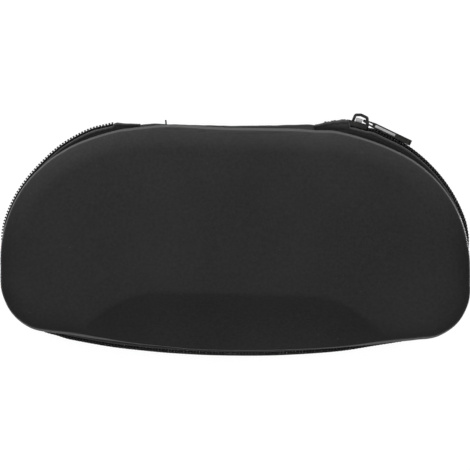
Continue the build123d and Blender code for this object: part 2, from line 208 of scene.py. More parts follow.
class Groups:
    """Shader effects that several finishes share, each built once."""

    @staticmethod
    def start(name: str, **inputs: float) -> tuple[Wiring, bpy.types.bpy_prop_collection]:
        """Begin a node group, which also takes a Vector.

        Args:
            name: The group's name.
            **inputs: Its float inputs and their first values.

        Returns:
            Wiring in the new group, and what the group is given, by name.
        """
        tree = bpy.data.node_groups.new(name, "ShaderNodeTree")
        tree.interface.new_socket("Vector", in_out="INPUT", socket_type="NodeSocketVector")
        for label, value in inputs.items():
            socket = tree.interface.new_socket(label, in_out="INPUT", socket_type="NodeSocketFloat")
            socket.default_value = value
        return Wiring(tree), tree.nodes.new("NodeGroupInput").outputs

    @staticmethod
    def close(wiring: Wiring, **results: Socket) -> None:
        """Make the group's outputs and send the results to them.

        Args:
            wiring: The group's wiring.
            **results: What each output gives, by its name.
        """
        for label in results:
            wiring.tree.interface.new_socket(
                label, in_out="OUTPUT", socket_type="NodeSocketFloat"
            )
        wiring.feed(wiring.tree.nodes.new("NodeGroupOutput"), **results)

    @classmethod
    def place(cls, wiring: Wiring, name: str, vector: Socket, **values: float) -> Node:
        """Place a group in a material, building it at its first use.

        Args:
            wiring: The material's wiring.
            name: Name of the group, which is also its builder's name here.
            vector: Coordinates to feed it.
            **values: The group's inputs, by name.

        Returns:
            The group node.
        """
        if name not in bpy.data.node_groups:
            getattr(cls, name)()
        return wiring.feed(
            wiring.add("Group", node_tree=bpy.data.node_groups[name]), Vector=vector, **values
        )

    @classmethod
    def weave(cls) -> None:
        """Plain weave of fine yarns, on any face of the case."""
        wiring, given = cls.start("weave", Yarns=2000.0, Slub=0.3)
        parts = wiring.add("SeparateXYZ", Vector=given["Vector"]).outputs
        warp, weft = (
            wiring.wave(wiring.math("MULTIPLY_ADD", parts["Z"], lean, parts[axis]), given["Yarns"])
            for axis, lean in (("X", 0.25), ("Y", 0.45))
        )
        yarn = wiring.math("ABSOLUTE", wiring.math("MULTIPLY", warp, weft))
        slub = wiring.noise(given["Vector"], 900.0, 2.0)
        uneven = wiring.math("MULTIPLY", slub, given["Slub"])
        cls.close(
            wiring,
            Height=wiring.math("ADD", wiring.math("POWER", yarn, 0.6), uneven),
            Gap=wiring.ramp(yarn, 0.35, 0.0),
            Mottle=wiring.ramp(slub, 0.3, 0.7),
        )

    @classmethod
    def lint(cls) -> None:
        """Sparse pale specks and a soft unevenness of colour."""
        wiring, given = cls.start("lint", Size=700.0, Amount=0.5)
        dots = wiring.add(
            "TexVoronoi", Vector=given["Vector"], Scale=given["Size"], Randomness=1.0
        ).outputs
        near = wiring.ramp(dots["Distance"], 0.16, 0.05)
        chance = wiring.ramp(dots["Color"], 0.72, 0.95)
        place = wiring.ramp(wiring.noise(given["Vector"], 90.0, 3.0), 0.46, 0.62)
        specks = wiring.math("MULTIPLY", wiring.math("MULTIPLY", near, chance), place)
        cls.close(
            wiring,
            Specks=wiring.math("MULTIPLY", specks, given["Amount"]),
            Patches=wiring.ramp(wiring.noise(given["Vector"], 26.0, 4.0), 0.3, 0.7),
        )

    @classmethod
    def ribs(cls) -> None:
        """Bands that run along a strip, with short yarns across them."""
        wiring, given = cls.start("ribs", Ribs=1500.0, Picks=1700.0)
        parts = wiring.add("SeparateXYZ", Vector=given["Vector"]).outputs
        rib = wiring.math("ABSOLUTE", wiring.wave(parts["Y"], given["Ribs"]))
        slid = wiring.math("MULTIPLY_ADD", rib, 0.35 * MM, parts["X"])
        pick = wiring.math("MULTIPLY_ADD", wiring.wave(slid, given["Picks"]), 0.3, 0.7)
        height = wiring.math("MULTIPLY", rib, pick)
        cls.close(wiring, Height=height, Gap=wiring.ramp(height, 0.3, 0.0))

    @classmethod
    def grain(cls) -> None:
        """Fine even grain with broader hills, for foam, nylon and cast metal."""
        wiring, given = cls.start("grain", Fine=4000.0, Broad=300.0)
        fine = wiring.noise(given["Vector"], given["Fine"], 2.0)
        broad = wiring.noise(given["Vector"], given["Broad"], 3.0)
        cls.close(
            wiring,
            Height=wiring.math("MULTIPLY_ADD", fine, 0.6, broad),
            Patches=wiring.ramp(broad, 0.35, 0.65),
        )


# Finishes


def grey(level: float, warm: float = 0.0) -> Colour:
    """A near-neutral linear colour, slightly warm or cool."""
    return (level * (1 + warm), level, level * (1 - warm), 1.0)


def begin_material(name: str) -> tuple[bpy.types.Material, Wiring, Node]:
    """Make an empty material with a Principled shader.

    Args:
        name: The material's name.

    Returns:
        The material, its wiring and its Principled shader.
    """
    material = bpy.data.materials.new(name)
    material.use_nodes = True
    material.node_tree.nodes.clear()
    wiring = Wiring(material.node_tree)
    shader = wiring.add("BsdfPrincipled")
    wiring.add("OutputMaterial", Surface=shader.outputs[0])
    return material, wiring, shader


@dataclass(frozen=True)
class Finish:
    """What every finish has: a name and a linear grey level."""

    name: str
    colour: float

    def tone(self, share: float, warm: float = 0.0) -> Colour:
        """The finish's colour, made darker or paler."""
        return grey(self.colour * share, warm)

    def build(self) -> bpy.types.Material:
        """Build the material, which each kind of finish does in its own way."""
        raise NotImplementedError(self.name)


@dataclass(frozen=True)
class ClothFinish(Finish):
    """Matt woven cloth laminated to foam, with painted shade darkening the gaps of its weave."""

    patch: float = 0.22
    yarns: float = 2300.0
    relief: float = 0.06
    lint: float = 0.5
    # share of painted shade laid into the weave's gaps
    gap: float = 0.3
    roughness: float = 0.88
    sheen: float = 0.12
    nap: float = 0.17
    gloss: float = 0.03

    def build(self) -> bpy.types.Material:
        """Build the material.

        Returns:
            The new material.
        """
        material, wiring, shader = begin_material(self.name)
        place = wiring.add("TexCoord").outputs["Object"]
        weave = Groups.place(wiring, "weave", place, Yarns=self.yarns, Slub=0.5).outputs
        lint = Groups.place(wiring, "lint", place, Size=650.0, Amount=self.lint).outputs
        patches = wiring.math("MULTIPLY", lint["Patches"], 0.5)
        uneven = wiring.math("MULTIPLY_ADD", weave["Mottle"], 0.5, patches)
        worn = wiring.mix(uneven, self.tone(1 - self.patch), self.tone(1 + self.patch))
        # painted shade: the weave's gaps are mixed towards a darker tone of the cloth
        gap_shade = wiring.math("MULTIPLY", weave["Gap"], self.gap)
        cloth = wiring.mix(gap_shade, worn, self.tone(0.35))
        wiring.feed(
            shader,
            Base_Color=wiring.mix(lint["Specks"], cloth, grey(0.16)),
            Roughness=wiring.math("MULTIPLY_ADD", weave["Gap"], 0.1, self.roughness),
            Normal=wiring.bump(weave["Height"], self.relief, 0.1),
            Sheen_Weight=self.sheen,
            Sheen_Roughness=self.nap,
            Specular_IOR_Level=self.gloss,
        )
        return material


@dataclass(frozen=True)
class TapeFinish(Finish):
    """Woven tape whose ribs follow the strip, read from its own UV map, with painted shade
    darkening the gaps between its ribs.
    """

    ribs: float = 1400.0
    picks: float = 1800.0
    relief: float = 0.5
    # share of painted shade laid into the gaps between the ribs
    gap: float = 0.6
    roughness: float = 0.72
    sheen: float = 0.08
    gloss: float = 0.15

    def build(self) -> bpy.types.Material:
        """Build the material.

        Returns:
            The new material.
        """
        material, wiring, shader = begin_material(self.name)
        run = wiring.add("UVMap", uv_map="run").outputs[0]
        place = wiring.add("TexCoord").outputs["Object"]
        ribs = Groups.place(wiring, "ribs", run, Ribs=self.ribs, Picks=self.picks).outputs
        lint = Groups.place(wiring, "lint", place, Size=800.0, Amount=0.35).outputs
        worn = wiring.mix(lint["Patches"], self.tone(0.85), self.tone(1.2))
        # painted shade: the gaps between the ribs are mixed towards a darker tone of the tape
        gap_shade = wiring.math("MULTIPLY", ribs["Gap"], self.gap)
        cloth = wiring.mix(gap_shade, worn, self.tone(0.3))
        wiring.feed(
            shader,
            Base_Color=wiring.mix(lint["Specks"], cloth, grey(0.12)),
            Roughness=wiring.math("MULTIPLY_ADD", ribs["Gap"], 0.15, self.roughness),
            Normal=wiring.bump(ribs["Height"], self.relief, 0.12),
            Sheen_Weight=self.sheen,
            Specular_IOR_Level=self.gloss,
        )
        return material


@dataclass(frozen=True)
class SolidFinish(Finish):
    """Foam, nylon, thread or metal with a fine grain and slight unevenness."""

    roughness: float
    metallic: float = 0.0
    spread: float = 0.2
    fine: float = 4000.0
    broad: float = 300.0
    relief: float = 0.15
    warm: float = 0.0
    gloss: float = 0.5

    def build(self) -> bpy.types.Material:
        """Build the material.

        Returns:
            The new material.
        """
        material, wiring, shader = begin_material(self.name)
        place = wiring.add("TexCoord").outputs["Object"]
        grain = Groups.place(wiring, "grain", place, Fine=self.fine, Broad=self.broad).outputs
        tones = (self.tone(share, self.warm) for share in (1 - self.spread, 1 + self.spread))
        wiring.feed(
            shader,
            Base_Color=wiring.mix(grain["Patches"], *tones),
            Roughness=wiring.math("MULTIPLY_ADD", grain["Patches"], 0.12, self.roughness - 0.06),
            Normal=wiring.bump(grain["Height"], self.relief, 0.05),
            Metallic=self.metallic,
            Specular_IOR_Level=self.gloss,
        )
        return material


COVER_CLOTH = ClothFinish("cover_cloth", 0.0230, sheen=0.22)
LINING_CLOTH = ClothFinish(
    "lining_cloth", 0.022, yarns=1500.0, relief=0.2, lint=0.25, sheen=0.25
)
ZIP_TAPE = TapeFinish("zip_tape", 0.024, ribs=900.0, picks=900.0, relief=1.0)
BINDING_TAPE = TapeFinish("binding_tape", 0.020, ribs=900.0, picks=1200.0)
HINGE_CLOTH = TapeFinish("hinge_cloth", 0.011, ribs=1100.0, picks=1300.0)
FOAM = SolidFinish("moulded_foam", 0.030, 0.9, fine=3500.0, broad=900.0, relief=0.6)
NYLON = SolidFinish("coil_nylon", 0.008, 0.5, spread=0.25, gloss=0.15)
THREAD = SolidFinish(
    "sewing_thread", 0.013, 0.6, fine=6000.0, broad=1500.0, relief=0.5, gloss=0.2
)
GUNMETAL = SolidFinish(
    "gunmetal", 0.013, 0.38, metallic=1.0, fine=3000.0, broad=500.0, relief=0.05, warm=0.02
)
# satin metal of the tab's insert, also the pale colour of the crown's painted highlight block
SATIN_METAL = SolidFinish(
    "satin_metal", 0.27, 0.5, metallic=0.5, fine=2500.0, broad=400.0, relief=0.1
)


class Finishes:
    """Builds each finish once and hands out its material."""

    def __init__(self) -> None:
        """Start with none built."""
        self._built: dict[str, bpy.types.Material] = {}

    def get(self, finish: Finish) -> bpy.types.Material:
        """Material of a finish, built at its first use.

        Args:
            finish: The finish.

        Returns:
            Its material.
        """
        if finish.name not in self._built:
            self._built[finish.name] = finish.build()
        return self._built[finish.name]


FINISHES = Finishes()

# The zip's upper half stays sewn to the lower one at the hinge and lets go further round
ZIP_BEND = ((0.0, 46.8 * MM, MIDDLE * MM), (0.0, 36.0 * MM, MIDDLE * MM))


@dataclass(frozen=True)
class Piece:
    """How one finished mesh joins the object."""

    name: str
    body: Body
    slot: str
    finish: Finish
    replaces: tuple[str, ...] = ()
    bend: tuple[Place, ...] = ()

    def add(self, mesh: Mesh) -> bpy.types.Object:
        """Turn a bmesh into an object of the scene.

        Args:
            mesh: The finished shape, which is freed.

        Returns:
            The new object.
        """
        for face in mesh.faces:
            face.smooth = True
        data = bpy.data.meshes.new(self.name)
        mesh.to_mesh(data)
        mesh.free()
        log.info("%s: %d faces", self.name, len(data.polygons))
        return self.link(data)

    def link(self, data: bpy.types.Mesh | bpy.types.Curve) -> bpy.types.Object:
        """Link finished data to the scene with its finish, attach it to its body unless it has a
        bend, and hide the nodes it replaces.

        Args:
            data: The mesh or curve, in place.

        Returns:
            The new object.
        """
        data.materials.append(FINISHES.get(self.finish))
        piece = bpy.data.objects.new(self.name, data)
        bpy.context.scene.collection.objects.link(piece)
        if self.bend:
            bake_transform(piece)
        else:
            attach(piece, self.body.value)
        if self.replaces:
            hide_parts(*self.replaces)
        return piece


# Plan of the case


def smooth_share(value: float) -> float:
    """Smooth step from 0 to 1 over the unit interval."""
    share = min(1.0, max(0.0, value))
    return share * share * (3 - 2 * share)


def between(table: Table, place: float) -> float:
    """Value of a table, eased from one entry to the next.

    Args:
        table: Places in rising order, each with its value.
        place: Where to read it.

    Returns:
        The value there, or the last one beyond the table.
    """
    for (first, low), (last, high) in zip(table, table[1:]):
        if place <= last:
            return low + (high - low) * smooth_share((place - first) / (last - first))
    return table[-1][1]


@dataclass(frozen=True)
class Bend:
    """Arc of a plan outline."""

    centre: Vector
    radius: float
    start: float
    end: float

    def length(self) -> float:
        """Length of the arc."""
        return self.radius * radians(abs(self.end - self.start))

    def at(self, share: float) -> tuple[Vector, Vector]:
        """Point and outward direction at a share of the arc.

        Args:
            share: How much of the arc is passed.

        Returns:
            The point in metres and the direction.
        """
        turn = radians(self.start + (self.end - self.start) * share)
        way = Vector((cos(turn), sin(turn)))
        return self.centre + way * self.radius, way


@dataclass(frozen=True)
class Straight:
    """Straight stretch of a plan outline."""

    first: Vector
    last: Vector
    way: Vector

    def length(self) -> float:
        """Length of the stretch."""
        return (self.last - self.first).length

    def at(self, share: float) -> tuple[Vector, Vector]:
        """Point and outward direction at a share of the stretch."""
        return self.first.lerp(self.last, share), self.way


@dataclass(frozen=True)
class Spot:
    """A place on an outline: its plan point, outward direction and stage."""

    point: Vector
    way: Vector
    stage: float = 0.0

    def out(self, gap: float) -> Vector:
        """Plan point moved outwards by a gap in millimetres."""
        return self.point + self.way * (gap * MM)


@dataclass(frozen=True)
class Drift:
    """Outward shift of a moulded edge on each side, by distance from the front's middle."""

    left: Table
    right: Table

    def at(self, distance: float, right: bool) -> float:
        """Shift in millimetres at a distance on one side."""
        return between(self.right if right else self.left, distance)


@dataclass
class Outline:
    """Right side of a plan outline from the hinge to the front, in millimetres.

    A stage is a whole number of pieces passed plus the share of the next one. The
    left side has the same stages below zero.
    """

    back: Arc
    bends: tuple[tuple[float, float, float], ...]
    corner_y: float
    corner: float
    front_turn: float
    centre_line: bool = False
    drift: Drift | None = None
    pieces: list[Bend | Straight] = field(default_factory=list)

    def __post_init__(self) -> None:
        """Work out the pieces from the radii."""
        (x, y), last_radius = self.back
        if self.centre_line:
            top = Vector((x, y + last_radius)) * MM
            self.pieces.append(Straight(Vector((0.0, top.y)), top, Vector((0.0, 1.0))))
        for radius, start, end in self.bends:
            x += (last_radius - radius) * cos(radians(start))
            y += (last_radius - radius) * sin(radians(start))
            self.pieces.append(Bend(Vector((x, y)) * MM, radius * MM, start, end))
            last_radius = radius
        side = x + last_radius
        down = Vector((side, y)) * MM, Vector((side, self.corner_y)) * MM
        self.pieces.append(Straight(*down, Vector((1.0, 0.0))))
        corner_x = side - self.corner
        turn = radians(self.front_turn)
        centre = Vector((corner_x, self.corner_y)) * MM
        self.pieces.append(Bend(centre, self.corner * MM, 0.0, self.front_turn - 90.0))
        reach = corner_x / sin(turn)
        centre = Vector((0.0, self.corner_y + reach * cos(turn))) * MM
        self.pieces.append(Bend(centre, (self.corner + reach) * MM, self.front_turn - 90.0, -90.0))

    @property
    def length(self) -> float:
        """Length of the right side."""
        return sum(piece.length() for piece in self.pieces)

    def _split(self, stage: float) -> tuple[int, float]:
        """Number of the piece that a stage lies on, and the share of it passed."""
        index = min(int(abs(stage)), len(self.pieces) - 1)
        return index, abs(stage) - index

    def at(self, stage: float) -> Spot:
        """Place at a stage, on the left side if it is below zero.

        Args:
            stage: Pieces passed.

        Returns:
            The place, moved by the drift.
        """
        index, share = self._split(stage)
        point, way = self.pieces[index].at(share)
        if self.drift:
            from_front = (self.length - self.distance_of(stage)) / MM
            point = point + way * self.drift.at(from_front, stage > 0) * MM
        if stage < 0:
            point, way = Vector((-point.x, point.y)), Vector((-way.x, way.y))
        return Spot(point, way, stage)

    def stage_at(self, distance: float) -> float:
        """Stage at a distance in metres from the start of the right side.

        Args:
            distance: The distance.

        Returns:
            Pieces passed.
        """
        for index, piece in enumerate(self.pieces):
            if distance <= piece.length() or index == len(self.pieces) - 1:
                return index + min(distance / piece.length(), 1.0)
            distance -= piece.length()
        return float(len(self.pieces))

    def distance_of(self, stage: float) -> float:
        """Distance in metres from the start of the side to a stage.

        Args:
            stage: Pieces passed.

        Returns:
            The distance.
        """
        index, share = self._split(stage)
        before = sum(piece.length() for piece in self.pieces[:index])
        return before + self.pieces[index].length() * share

    def stages(self, last: float, step: float) -> list[float]:
        """Even stages from the start to the last, about a step in metres apart.

        Args:
            last: The last stage.
            step: The rough distance between two.

        Returns:
            The stages in order.
        """
        end = self.distance_of(last)
        count = max(2, ceil(end / step))
        return [self.stage_at(end * index / count) for index in range(count + 1)]


BACK_ARC = ((19.8, -58.5), 102.5)
ZIP_ARC = ((33.5, -12.0), 58.7)
RIM_DRIFT = Drift(
    left=(
        (0.0, -0.35), (14.0, -0.4), (33.0, -0.95), (52.0, -1.35), (63.0, -1.6), (71.0, -1.3),
        (80.0, -1.0), (93.0, -0.8), (105.0, -0.2), (120.0, 0.0), (150.0, 0.7), (158.0, 1.0),
        (168.0, 1.4), (184.0, 1.3), (189.0, 0.9), (193.0, 0.7), (197.0, 0.6), (229.0, -0.6),
    ),
    right=(
        (0.0, -0.35), (25.0, -0.35), (44.0, -0.2), (60.0, -0.3), (70.0, 0.0), (80.0, 0.6),
        (88.0, 0.85), (95.0, 0.7), (105.0, 0.4), (120.0, 0.1), (150.0, 0.0), (175.0, 0.2),
        (190.0, 0.25), (200.0, -0.7), (229.0, -0.6),
    ),
)


def bearing(x: float, arc: Arc) -> float:
    """Bearing of the point at x on an arc, in degrees from +X."""
    (centre_x, _), radius = arc
    return 90.0 - degrees(asin((x - centre_x) / radius))


def rim_outline(start: float, centre_line: bool = False) -> Outline:
    """Outline of the rim, its back arc begun at a bearing."""
    bends = ((102.5, start, 65.0), (47.2, 65.0, 20.4), (47.2, 20.4, 0.0))
    return Outline(BACK_ARC, bends, -17.1, 20.2, 8.8, centre_line, RIM_DRIFT)


def zip_outline(start: float) -> Outline:
    """Outline of the zip's outer edge, begun at a bearing."""
    bends = ((58.7, start, 57.9), (58.7, 57.9, 20.0), (24.0, 20.0, 0.0))
    return Outline(ZIP_ARC, bends, -17.1, 19.6, 12.5)


RIM = rim_outline(90.0, centre_line=True)


# Mesh helpers


def join(into: Mesh, other: Mesh) -> None:
    """Copy a bmesh into another and free it.

    Args:
        into: The mesh that grows.
        other: The mesh that is copied in.
    """
    carrier = bpy.data.meshes.new("carrier")
    other.to_mesh(carrier)
    other.free()
    into.from_mesh(carrier)
    bpy.data.meshes.remove(carrier)


def grow(rows: Rows, closed: bool = False) -> Mesh:
    """Strip grown row by row, with its own map of lengths in metres.

    Args:
        rows: Points of each row, the same number in all.
        closed: Whether the last row meets the first.

    Returns:
        The strip, whose "run" map has the length along it and over it.
    """
    strip = bmesh.new()
    place = strip.verts.layers.int.new("place")
    over = strip.verts.layers.float.new("over")
    verts = [strip.verts.new(point) for point in rows[0]]
    for index, vert in enumerate(verts):
        vert[place] = index
    edges = [strip.edges.new(pair) for pair in zip(verts, verts[1:])]
    middle = len(rows[0]) // 2
    passed = 0.0
    for row, before in zip(rows[1:], rows):
        passed += (row[middle] - before[middle]).length
        grown = bmesh.ops.extrude_edge_only(strip, edges=edges)["geom"]
        fresh = {item for item in grown if isinstance(item, bmesh.types.BMVert)}
        for vert in fresh:
            vert.co = row[vert[place]]
            vert[over] = passed
        edges = [
            item for item in grown
            if isinstance(item, bmesh.types.BMEdge) and fresh.issuperset(item.verts)
        ]
    along = [0.0]
    for point, before in zip(rows[0][1:], rows[0]):
        along.append(along[-1] + (point - before).length)
    lengths = strip.loops.layers.uv.new("run")
    for face in strip.faces:
        for loop in face.loops:
            loop[lengths].uv = (along[loop.vert[place]], loop.vert[over])
    if closed:
        bmesh.ops.remove_doubles(strip, verts=strip.verts, dist=TINY)
    bmesh.ops.recalc_face_normals(strip, faces=strip.faces)
    return strip


def thicken(piece: bpy.types.Object, thickness: float, side: float = 0.0) -> None:
    """Give cloth its thickness.

    Args:
        piece: The cloth, as one face.
        thickness: Its thickness in millimetres.
        side: -1 to grow it inwards only, or 0 evenly both ways.
    """
    solid = piece.modifiers.new("cloth", "SOLIDIFY")
    solid.thickness = thickness * MM
    solid.offset = side


def ease(
    mesh: Mesh, edges: list[bmesh.types.BMEdge], width: float, segments: int = 1,
    clamp: bool = False,
) -> None:
    """Bevel edges.

    Args:
        mesh: The mesh that they are on.
        edges: The edges.
        width: Width of the bevel in millimetres.
        segments: Number of its rows of faces.
        clamp: Whether the bevel narrows where it would meet itself.
    """
    bmesh.ops.bevel(
        mesh, geom=edges, offset=width * MM, affect="EDGES", segments=segments, profile=0.5,
        material=-1, clamp_overlap=clamp,
    )


def capsule(into: Mesh, start: Vector, end: Vector, radius: float, sides: int = 6) -> None:
    """Add a short round-ended rod.

    Args:
        into: The mesh that gains it.
        start: One end of its middle line.
        end: The other end.
        radius: Its radius in millimetres.
        sides: Number of its sides.
    """
    way = end - start
    turn = way.to_track_quat("Z", "Y").to_matrix().to_4x4()
    rod = bmesh.ops.create_cone(
        into, cap_ends=True, segments=sides, radius1=radius * MM, radius2=radius * MM,
        depth=way.length, matrix=Matrix.Translation((start + end) / 2) @ turn,
    )["verts"]
    rims = {
        edge for vert in rod for edge in vert.link_edges
        if len(edge.link_faces) == 2 and any(len(face.verts) == sides for face in edge.link_faces)
    }
    ease(into, list(rims), radius * 0.6)


# Moulded halves


@dataclass(frozen=True)
class Layer:
    """Cloth on one face of a half's foam, in millimetres."""

    name: str
    finish: Finish
    inset: float
    cells: float
    thickness: float


@dataclass
class Mould:
    """Form of one moulded half, as heights over its rim, in millimetres.

    Its wall leans in, turns over a round edge and meets a top that is crowned on
    the lid and flat on the base. A scoop slopes from a ridge down to the front lip.
    """

    half: Half
    height: float = 27.0
    edge_round: float = 9.5
    crown_along: float = 1280.0
    crown_across: float = 306.0
    ridge_y: float = -19.6
    ridge_flat: float = 28.0
    ridge_bend: float = 36.0
    ridge_turn: float = 31.0
    ridge_growth: float = 0.44
    ridge_lean: float = 0.012
    scoop_hollow: float = 0.48
    lip_depth: float = 45.2
    lip_rise: float = 0.0012
    least_reach: float = 6.0
    soft_middle: float = 1.2
    soft_flank: float = 0.7
    soft_from: float = 20.0
    soft_over: float = 35.0
    back_corner: float = 0.335
    front_corner: float = 0.63
    top_size: tuple[float, float] = (150.0, 76.0)
    round_size: float = 9.0
    wall_size: float = 10.0
    border_steps: int = 200
    border_share: float = 0.0001
    cover: Layer = Layer("cover", COVER_CLOTH, 0.0, 0.8, 0.45)
    lining: Layer = Layer("lining", LINING_CLOTH, 3.12, 1.6, 0.38)
    foam_insets: tuple[float, float] = (0.5, 3.1)
    foam_cells: float = 2.0

    def top(self, x: float, y: float, inset: float) -> float:
        """Height of the top before the scoop is taken out of it.

        Args:
            x: Place along the case.
            y: Place across it.
            inset: How far inside the layer lies.

        Returns:
            The height over the rim.
        """
        if self.half is Half.LOWER:
            return self.height - inset
        along = self.crown_along - sqrt(self.crown_along**2 - x * x)
        across = self.crown_across - sqrt(self.crown_across**2 - y * y)
        return self.height - inset - along - across

    def ridge(self, x: float, inset: float) -> float:
        """Place of the scoop's ridge across the case at x.

        Args:
            x: Place along the case.
            inset: How far inside the layer lies.

        Returns:
            The ridge's y.
        """
        bend = self.ridge_bend + inset * self.ridge_growth
        beyond = max(0.0, abs(x) - self.ridge_flat)
        turn = radians(self.ridge_turn)
        if beyond < bend * sin(turn):
            drop = bend - sqrt(bend * bend - beyond * beyond)
        else:
            drop = bend * (1 - cos(turn)) + (beyond - bend * sin(turn)) * tan(turn)
        return self.ridge_y + inset * self.ridge_growth - drop

    def scooped(self, x: float, y: float, height: float, inset: float) -> float:
        """Height after the scoop, which meets the top in a soft ridge.

        Args:
            x: Place along the case.
            y: Place across it.
            height: Height there before the scoop.
            inset: How far inside the outer face the layer lies.

        Returns:
            The height over the rim.
        """
        down = max(0.0, self.ridge(x, inset) - self.ridge_lean * x - y)
        reach = self.ridge(x, inset) + self.lip_depth - self.lip_rise * x * x
        reach = max(self.least_reach, reach)
        hollow = self.scoop_hollow * down * (1.0 - down / reach)
        slope = self.height - inset - down - hollow if down > 0 else self.height
        away = min(1.0, max(0.0, (abs(x) - self.soft_from) / self.soft_over))
        soft = self.soft_middle + (self.soft_flank - self.soft_middle) * away
        share = min(1.0, max(0.0, 0.5 + 0.5 * (height - slope) / soft))
        return height + (slope - height) * share - soft * share * (1 - share)

    def edge(self, spot: Spot, inset: float) -> tuple[float, float, float]:
        """Round edge over the wall at a place on the rim.

        Args:
            spot: Place on the rim.
            inset: How far inside the outer face the layer lies.

        Returns:
            Inward distance and height of the round's centre, and the angle at
            which it meets the top.
        """
        radius = self.edge_round - inset
        lean = radians(DRAFT)
        base = spot.out(-inset) / MM
        inward, height, slope = radius, self.height - radius, 0.0
        for _ in range(3):
            near = base - spot.way * (inward - radius * sin(slope))
            far = near - spot.way * 0.5
            level = self.top(near.x, near.y, inset)
            slope = atan2(self.top(far.x, far.y, inset) - level, 0.5)
            height = level + radius * sin(slope) * tan(slope) - radius / cos(slope)
            inward = (radius + height * sin(lean)) / cos(lean)
        return inward, height, pi / 2 - slope

    def section(self, spot: Spot, inset: float, turn: float) -> tuple[float, float]:
        """Point of the round edge, as inward distance and height.

        Args:
            spot: Place on the rim.
            inset: How far inside the outer face the layer lies.
            turn: From 0 where the round leaves the top to 1 where it meets the wall.

        Returns:
            Inward distance from the layer's rim, and height.
        """
        inward, height, top_angle = self.edge(spot, inset)
        radius = self.edge_round - inset
        angle = top_angle + (radians(DRAFT) - top_angle) * turn
        return inward - radius * cos(angle), height + radius * sin(angle)

    def lift(self, x: float, y: float, height: float, inset: float) -> Vector:
        """Point of the finished form over a plan place, in metres."""
        level = max(0.0, self.scooped(x, y, height, inset))
        return Vector((x, y, self.half.rim + self.half.value * level)) * MM

    def skin(self, inset: float, cells: float) -> Mesh:
        """One face of a layer, from the rim up over the top.

        Args:
            inset: How far inside the outer face it lies.
            cells: Rough size of its faces in millimetres.

        Returns:
            The open skin, rim edge free.
        """
        skin = bmesh.new()
        across, down = (int(size / cells) for size in self.top_size)
        bmesh.ops.create_grid(skin, x_segments=across, y_segments=down, size=0.5)
        stage = skin.verts.layers.float.new("stage")
        sides = self._border(inset)
        for vert in skin.verts:
            u, v = vert.co.x + 0.5, vert.co.y + 0.5
            vert[stage] = self._border_stage(u, v)
            plan = self._patch(u, v, sides)
            vert.co = self.lift(plan.x, plan.y, self.top(plan.x, plan.y, inset), inset)
        free = [edge for edge in skin.edges if edge.is_boundary]
        round_rows, wall_rows = (
            max(4, int(size / cells)) for size in (self.round_size, self.wall_size)
        )
        for row in range(1, round_rows + wall_rows + 1):
            grown = bmesh.ops.extrude_edge_only(skin, edges=free)["geom"]
            free = [
                item for item in grown
                if isinstance(item, bmesh.types.BMEdge) and item.is_boundary
            ]
            for vert in (item for item in grown if isinstance(item, bmesh.types.BMVert)):
                spot = RIM.at(vert[stage])
                inward, height = self.section(spot, inset, min(1.0, row / round_rows))
                share = min(1.0, 1.0 - (row - round_rows) / wall_rows)
                plan = spot.out(-inset - inward * share) / MM
                vert.co = self.lift(plan.x, plan.y, height * share, inset)
        bmesh.ops.recalc_face_normals(skin, faces=skin.faces)
        centre = min(skin.faces, key=lambda face: face.calc_center_median().xy.length)
        if centre.normal.z * self.half.value < 0:
            bmesh.ops.reverse_faces(skin, faces=skin.faces)
        return skin

    def _border(self, inset: float) -> Rows:
        """Sampled edges of the top: back, front, left and right.

        Args:
            inset: How far inside the outer face the layer lies.

        Returns:
            Plan points of each edge.
        """
        sides = []
        for upright, fixed in ((False, 1.0), (False, 0.0), (True, 0.0), (True, 1.0)):
            side = []
            for index in range(self.border_steps + 1):
                share = index / self.border_steps
                u, v = (fixed, share) if upright else (share, fixed)
                spot = RIM.at(self._border_stage(u, v))
                inward, _ = self.section(spot, inset, 0.0)
                side.append(spot.out(-inset - inward) / MM)
            sides.append(side)
        return sides

    def _border_stage(self, u: float, v: float) -> float:
        """Stage of a place on the top's border, which is the unit square's.

        Args:
            u: Share from left to right.
            v: Share from front to back.

        Returns:
            The rim's stage there.
        """
        back, front = RIM.length * self.back_corner, RIM.length * self.front_corner
        far = 2 * u - 1
        if v > 1.0 - self.border_share:
            distance = back * abs(far)
        elif v < self.border_share:
            distance = RIM.length - (RIM.length - front) * abs(far)
        else:
            distance = back + (front - back) * (1 - v)
        return (-1.0 if far < 0 else 1.0) * max(TINY, RIM.stage_at(distance))

    @staticmethod
    def _patch(u: float, v: float, sides: Rows) -> Vector:
        """Plan point inside the top's border, spread evenly between its four sides.

        Args:
            u: Share from left to right.
            v: Share from front to back.
            sides: Sampled back, front, left and right edges.

        Returns:
            The plan point in millimetres.
        """

        def along(side: list[Vector], share: float) -> Vector:
            """Point at a share of a sampled side.

            Args:
                side: The side's points.
                share: How much of it is passed.

            Returns:
                The point.
            """
            place = share * (len(side) - 1)
            index = min(int(place), len(side) - 2)
            return side[index].lerp(side[index + 1], place - index)

        back, front, left, right = sides
        across = along(front, u) * (1 - v) + along(back, u) * v
        down = along(left, v) * (1 - u) + along(right, v) * u
        low = front[0] * (1 - u) + front[-1] * u
        high = back[0] * (1 - u) + back[-1] * u
        return across + down - (low * (1 - v) + high * v)

    def cloth(self, layer: Layer) -> None:
        """Cloth on one face of the foam.

        Args:
            layer: The cloth, whose name is also its slot and ends its node's name.
        """
        node = f"{self.half.word}_{layer.name}"
        piece = Piece(f"{node}_cloth", self.half.body, layer.name, layer.finish, (node,))
        thicken(piece.add(self.skin(layer.inset, layer.cells)), layer.thickness, -1.0)

